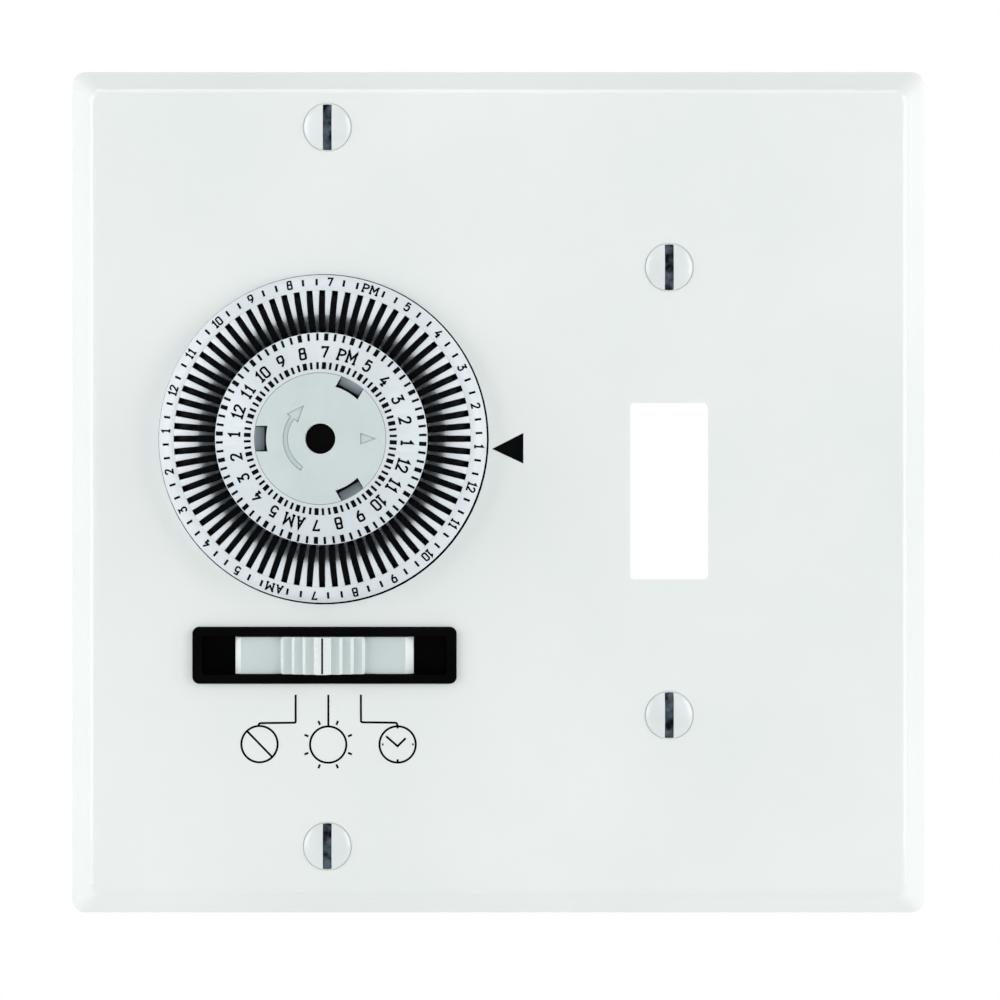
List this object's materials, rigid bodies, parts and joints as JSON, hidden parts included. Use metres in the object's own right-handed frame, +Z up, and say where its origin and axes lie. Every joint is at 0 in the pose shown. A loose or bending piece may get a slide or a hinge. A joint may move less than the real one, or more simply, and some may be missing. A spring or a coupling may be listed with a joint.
{
  "type": "timer light switch",
  "caption": "Wall timer light switch: tripper dial with raised hub, mode slider and a bare toggle opening in a two-gang steel plate.",
  "frame": {"origin": "centre of the wall plate on the wall plane, which its rear rim rests on", "axes": "+X to the right and +Z up as the user faces it, -Y out of the wall"},
  "size_m": [0.116, 0.05, 0.1142],
  "materials": {
    "plate_paint": "smooth white enamel",
    "screw_paint": "white enamel, bare metal in the slot",
    "zinc_steel": "zinc plated",
    "spring_steel": "bright spring steel",
    "black_steel": "blackened",
    "dial_white": "silver-white, satin",
    "knob_white": "silver-white, satin",
    "carrier_black": "satin",
    "gear_ivory": "natural acetal",
    "tripper_black": "semi-gloss",
    "frame_black": "satin",
    "case_black": "moulded, fine texture",
    "slider_grey": "light grey, satin",
    "carriage_black": "satin",
    "lever_amber": "amber phenolic",
    "contact_bronze": "phosphor bronze",
    "brass": "plain brass",
    "base_brown": "brown phenolic",
    "bobbin_white": "nylon",
    "winding_copper": "enamelled copper wire",
    "magnet_grey": "ferrite",
    "ground_green": "green dyed zinc"
  },
  "bodies": {
    "root": {"wall_plate": "plate_paint", "plate_screws": "screw_paint", "mounting_ear_top": "zinc_steel", "mounting_ear_bottom": "zinc_steel", "ear_screws": "zinc_steel", "box_screws": "zinc_steel", "ground_screw": "ground_green", "front_frame": "frame_black", "rear_case": "case_black", "case_screws": "zinc_steel", "movement_plate": "zinc_steel", "dial_spindle": "black_steel", "lever_pin": "zinc_steel", "detent_spring": "spring_steel", "switch_base": "base_brown", "fixed_contact": "brass", "leaf_anchor": "brass", "motor_plate": "zinc_steel", "motor_cup": "zinc_steel", "motor_bobbin": "bobbin_white", "motor_winding": "winding_copper", "terminal_plates": "brass", "terminal_screws": "brass"},
    "dial": {"dial_ring": "dial_white", "dial_hub": "dial_white", "dial_knob": "knob_white", "dial_carrier": "carrier_black", "dial_gear": "gear_ivory"},
    "pinion": {"drive_pinion": "gear_ivory"},
    "rotor": {"motor_rotor": "magnet_grey"},
    "selector": {"mode_slider": "slider_grey", "selector_carriage": "carriage_black", "selector_link": "zinc_steel"},
    "lever": {"trip_lever": "lever_amber"},
    "leaf": {"moving_contact": "contact_bronze"},
    "hour_01": {"trippers_hour_01": "tripper_black"},
    "hour_02": {"trippers_hour_02": "tripper_black"},
    "hour_03": {"trippers_hour_03": "tripper_black"},
    "hour_04": {"trippers_hour_04": "tripper_black"},
    "hour_05": {"trippers_hour_05": "tripper_black"},
    "hour_06": {"trippers_hour_06": "tripper_black"},
    "hour_07": {"trippers_hour_07": "tripper_black"},
    "hour_08": {"trippers_hour_08": "tripper_black"},
    "hour_09": {"trippers_hour_09": "tripper_black"},
    "hour_10": {"trippers_hour_10": "tripper_black"},
    "hour_11": {"trippers_hour_11": "tripper_black"},
    "hour_12": {"trippers_hour_12": "tripper_black"},
    "hour_13": {"trippers_hour_13": "tripper_black"},
    "hour_14": {"trippers_hour_14": "tripper_black"},
    "hour_15": {"trippers_hour_15": "tripper_black"},
    "hour_16": {"trippers_hour_16": "tripper_black"},
    "hour_17": {"trippers_hour_17": "tripper_black"},
    "hour_18": {"trippers_hour_18": "tripper_black"},
    "hour_19": {"trippers_hour_19": "tripper_black"},
    "hour_20": {"trippers_hour_20": "tripper_black"},
    "hour_21": {"trippers_hour_21": "tripper_black"},
    "hour_22": {"trippers_hour_22": "tripper_black"},
    "hour_23": {"trippers_hour_23": "tripper_black"},
    "hour_24": {"trippers_hour_24": "tripper_black"}
  },
  "joints": [
    {"name": "dial_turn", "type": "hinge", "parent": "root", "child": "dial", "pos_m": [-0.02358, 0, 0.00725], "axis": [0, 1, 0], "continuous": true},
    {"name": "pinion_spin", "type": "hinge", "parent": "root", "child": "pinion", "pos_m": [-0.02358, 0, -0.0115], "axis": [0, 1, 0], "continuous": true},
    {"name": "rotor_spin", "type": "hinge", "parent": "root", "child": "rotor", "pos_m": [-0.02358, 0, -0.0115], "axis": [0, 1, 0], "continuous": true},
    {"name": "mode_slide", "type": "slide", "parent": "root", "child": "selector", "axis": [1, 0, 0], "range_m": [-0.00436, 0.00436]},
    {"name": "lever_swing", "type": "hinge", "parent": "root", "child": "lever", "pos_m": [-0.02274, 0.0078, 0.013], "axis": [-1, 0, 0], "range_deg": [0, 4.8]},
    {"name": "contact_swing", "type": "hinge", "parent": "root", "child": "leaf", "pos_m": [-0.02274, 0.0118, 0.0304], "axis": [1, 0, 0], "range_deg": [0, 5.1]},
    {"name": "tripper_01", "type": "slide", "parent": "dial", "child": "hour_01", "axis": [0, 1, 0], "range_m": [0, 0.0023]},
    {"name": "tripper_02", "type": "slide", "parent": "dial", "child": "hour_02", "axis": [0, 1, 0], "range_m": [0, 0.0023]},
    {"name": "tripper_03", "type": "slide", "parent": "dial", "child": "hour_03", "axis": [0, 1, 0], "range_m": [0, 0.0023]},
    {"name": "tripper_04", "type": "slide", "parent": "dial", "child": "hour_04", "axis": [0, 1, 0], "range_m": [0, 0.0023]},
    {"name": "tripper_05", "type": "slide", "parent": "dial", "child": "hour_05", "axis": [0, 1, 0], "range_m": [0, 0.0023]},
    {"name": "tripper_06", "type": "slide", "parent": "dial", "child": "hour_06", "axis": [0, 1, 0], "range_m": [0, 0.0023]},
    {"name": "tripper_07", "type": "slide", "parent": "dial", "child": "hour_07", "axis": [0, 1, 0], "range_m": [0, 0.0023]},
    {"name": "tripper_08", "type": "slide", "parent": "dial", "child": "hour_08", "axis": [0, 1, 0], "range_m": [0, 0.0023]},
    {"name": "tripper_09", "type": "slide", "parent": "dial", "child": "hour_09", "axis": [0, 1, 0], "range_m": [0, 0.0023]},
    {"name": "tripper_10", "type": "slide", "parent": "dial", "child": "hour_10", "axis": [0, 1, 0], "range_m": [0, 0.0023]},
    {"name": "tripper_11", "type": "slide", "parent": "dial", "child": "hour_11", "axis": [0, 1, 0], "range_m": [0, 0.0023]},
    {"name": "tripper_12", "type": "slide", "parent": "dial", "child": "hour_12", "axis": [0, 1, 0], "range_m": [0, 0.0023]},
    {"name": "tripper_13", "type": "slide", "parent": "dial", "child": "hour_13", "axis": [0, 1, 0], "range_m": [0, 0.0023]},
    {"name": "tripper_14", "type": "slide", "parent": "dial", "child": "hour_14", "axis": [0, 1, 0], "range_m": [0, 0.0023]},
    {"name": "tripper_15", "type": "slide", "parent": "dial", "child": "hour_15", "axis": [0, 1, 0], "range_m": [0, 0.0023]},
    {"name": "tripper_16", "type": "slide", "parent": "dial", "child": "hour_16", "axis": [0, 1, 0], "range_m": [0, 0.0023]},
    {"name": "tripper_17", "type": "slide", "parent": "dial", "child": "hour_17", "axis": [0, 1, 0], "range_m": [0, 0.0023]},
    {"name": "tripper_18", "type": "slide", "parent": "dial", "child": "hour_18", "axis": [0, 1, 0], "range_m": [0, 0.0023]},
    {"name": "tripper_19", "type": "slide", "parent": "dial", "child": "hour_19", "axis": [0, 1, 0], "range_m": [0, 0.0023]},
    {"name": "tripper_20", "type": "slide", "parent": "dial", "child": "hour_20", "axis": [0, 1, 0], "range_m": [0, 0.0023]},
    {"name": "tripper_21", "type": "slide", "parent": "dial", "child": "hour_21", "axis": [0, 1, 0], "range_m": [0, 0.0023]},
    {"name": "tripper_22", "type": "slide", "parent": "dial", "child": "hour_22", "axis": [0, 1, 0], "range_m": [0, 0.0023]},
    {"name": "tripper_23", "type": "slide", "parent": "dial", "child": "hour_23", "axis": [0, 1, 0], "range_m": [0, 0.0023]},
    {"name": "tripper_24", "type": "slide", "parent": "dial", "child": "hour_24", "axis": [0, 1, 0], "range_m": [0, 0.0023]}
  ],
  "couplings": [
    {"joint": "pinion_spin", "follows": "dial_turn", "ratio": -4},
    {"joint": "contact_swing", "follows": "lever_swing", "ratio": 1.06}
  ]
}
